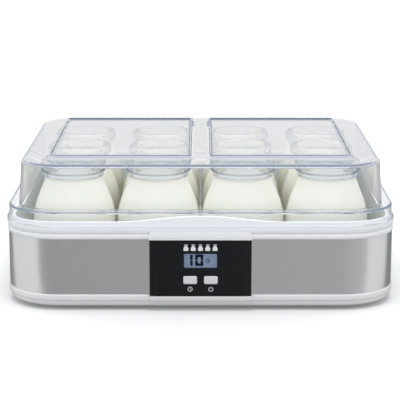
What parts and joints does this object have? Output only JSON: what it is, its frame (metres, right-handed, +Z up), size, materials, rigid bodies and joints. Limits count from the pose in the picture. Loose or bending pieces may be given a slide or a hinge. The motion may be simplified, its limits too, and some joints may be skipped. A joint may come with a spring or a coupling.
{
  "type": "yogurt maker",
  "caption": "Electric yogurt maker with open glass jars in a heated tub, a steel band, a front display with buttons and a clear lift-off lid.",
  "frame": {"origin": "centre of the body's footprint on the resting plane under the feet", "axes": "+X right seen from the front, +Y towards the back, +Z up; the control fascia faces -Y"},
  "size_m": [0.34, 0.3941, 0.1286],
  "materials": {
    "clear_plastic": "gloss",
    "white_plastic": "gloss",
    "brushed_steel": "brushed",
    "black_gloss": "gloss",
    "window": "gloss",
    "lcd": "satin",
    "circuit_board": "satin",
    "paper_board": "matte",
    "black_plastic": "matte",
    "blue_plastic": "matte",
    "yellow_plastic": "matte",
    "green_plastic": "matte",
    "screw_steel": "satin",
    "grey_plastic": "satin",
    "plunger_plastic": "matte",
    "sheet_aluminium": "satin",
    "silicone": "matte",
    "fuse_body": "matte",
    "cable_plastic": "satin",
    "pin_brass": "polished",
    "foot_rubber": "matte",
    "jar_glass": "gloss",
    "yogurt": "satin"
  },
  "bodies": {
    "base": {"top_housing": "white_plastic", "steel_band": "brushed_steel", "bottom_cover": "white_plastic", "control_fascia": "black_gloss", "display_window": "window", "lcd_panel": "lcd", "display_board": "circuit_board", "controller_chip": "black_plastic", "display_screws": "screw_steel", "tact_switches": "black_plastic", "heat_spreader": "sheet_aluminium", "heating_cord": "silicone", "cord_clips": "sheet_aluminium", "plate_retainers": "screw_steel", "thermal_fuse": "fuse_body", "temperature_sensor": "black_plastic", "power_board": "paper_board", "relay": "blue_plastic", "filter_capacitor": "yellow_plastic", "smoothing_capacitor": "black_plastic", "terminal_block": "green_plastic", "board_screws": "screw_steel", "control_cable": "cable_plastic", "heater_wires": "silicone", "cord_grommet": "cable_plastic", "power_cord": "cable_plastic", "cord_clamp": "white_plastic", "power_plug": "cable_plastic", "plug_pins": "pin_brass", "rubber_feet": "foot_rubber", "case_screws": "screw_steel"},
    "lid": {"lid": "clear_plastic"},
    "time_button": {"time_button": "grey_plastic", "time_plunger": "plunger_plastic"},
    "start_stop_button": {"start_stop_button": "grey_plastic", "start_stop_plunger": "plunger_plastic"},
    "jar_1_body": {"jar_1": "jar_glass", "yogurt_1": "yogurt"},
    "jar_2_body": {"jar_2": "jar_glass", "yogurt_2": "yogurt"},
    "jar_3_body": {"jar_3": "jar_glass", "yogurt_3": "yogurt"},
    "jar_4_body": {"jar_4": "jar_glass", "yogurt_4": "yogurt"},
    "jar_5_body": {"jar_5": "jar_glass", "yogurt_5": "yogurt"},
    "jar_6_body": {"jar_6": "jar_glass", "yogurt_6": "yogurt"},
    "jar_7_body": {"jar_7": "jar_glass", "yogurt_7": "yogurt"},
    "jar_8_body": {"jar_8": "jar_glass", "yogurt_8": "yogurt"},
    "jar_9_body": {"jar_9": "jar_glass", "yogurt_9": "yogurt"},
    "jar_10_body": {"jar_10": "jar_glass", "yogurt_10": "yogurt"},
    "jar_11_body": {"jar_11": "jar_glass", "yogurt_11": "yogurt"},
    "jar_12_body": {"jar_12": "jar_glass", "yogurt_12": "yogurt"}
  },
  "joints": [
    {"name": "lid_lift", "type": "slide", "parent": "base", "child": "lid", "axis": [0, 0, 1], "range_m": [0, 0.18]},
    {"name": "time_press", "type": "slide", "parent": "base", "child": "time_button", "axis": [0, 1, 0], "range_m": [0, 0.0006], "stiffness_N_per_m": 900, "springref_m": -0.0003},
    {"name": "start_stop_press", "type": "slide", "parent": "base", "child": "start_stop_button", "axis": [0, 1, 0], "range_m": [0, 0.0006], "stiffness_N_per_m": 900, "springref_m": -0.0003},
    {"name": "jar_1_lift", "type": "slide", "parent": "base", "child": "jar_1_body", "axis": [0, 0, 1], "range_m": [0, 0.003]},
    {"name": "jar_2_lift", "type": "slide", "parent": "base", "child": "jar_2_body", "axis": [0, 0, 1], "range_m": [0, 0.003]},
    {"name": "jar_3_lift", "type": "slide", "parent": "base", "child": "jar_3_body", "axis": [0, 0, 1], "range_m": [0, 0.003]},
    {"name": "jar_4_lift", "type": "slide", "parent": "base", "child": "jar_4_body", "axis": [0, 0, 1], "range_m": [0, 0.003]},
    {"name": "jar_5_lift", "type": "slide", "parent": "base", "child": "jar_5_body", "axis": [0, 0, 1], "range_m": [0, 0.003]},
    {"name": "jar_6_lift", "type": "slide", "parent": "base", "child": "jar_6_body", "axis": [0, 0, 1], "range_m": [0, 0.003]},
    {"name": "jar_7_lift", "type": "slide", "parent": "base", "child": "jar_7_body", "axis": [0, 0, 1], "range_m": [0, 0.003]},
    {"name": "jar_8_lift", "type": "slide", "parent": "base", "child": "jar_8_body", "axis": [0, 0, 1], "range_m": [0, 0.003]},
    {"name": "jar_9_lift", "type": "slide", "parent": "base", "child": "jar_9_body", "axis": [0, 0, 1], "range_m": [0, 0.003]},
    {"name": "jar_10_lift", "type": "slide", "parent": "base", "child": "jar_10_body", "axis": [0, 0, 1], "range_m": [0, 0.003]},
    {"name": "jar_11_lift", "type": "slide", "parent": "base", "child": "jar_11_body", "axis": [0, 0, 1], "range_m": [0, 0.003]},
    {"name": "jar_12_lift", "type": "slide", "parent": "base", "child": "jar_12_body", "axis": [0, 0, 1], "range_m": [0, 0.003]}
  ]
}
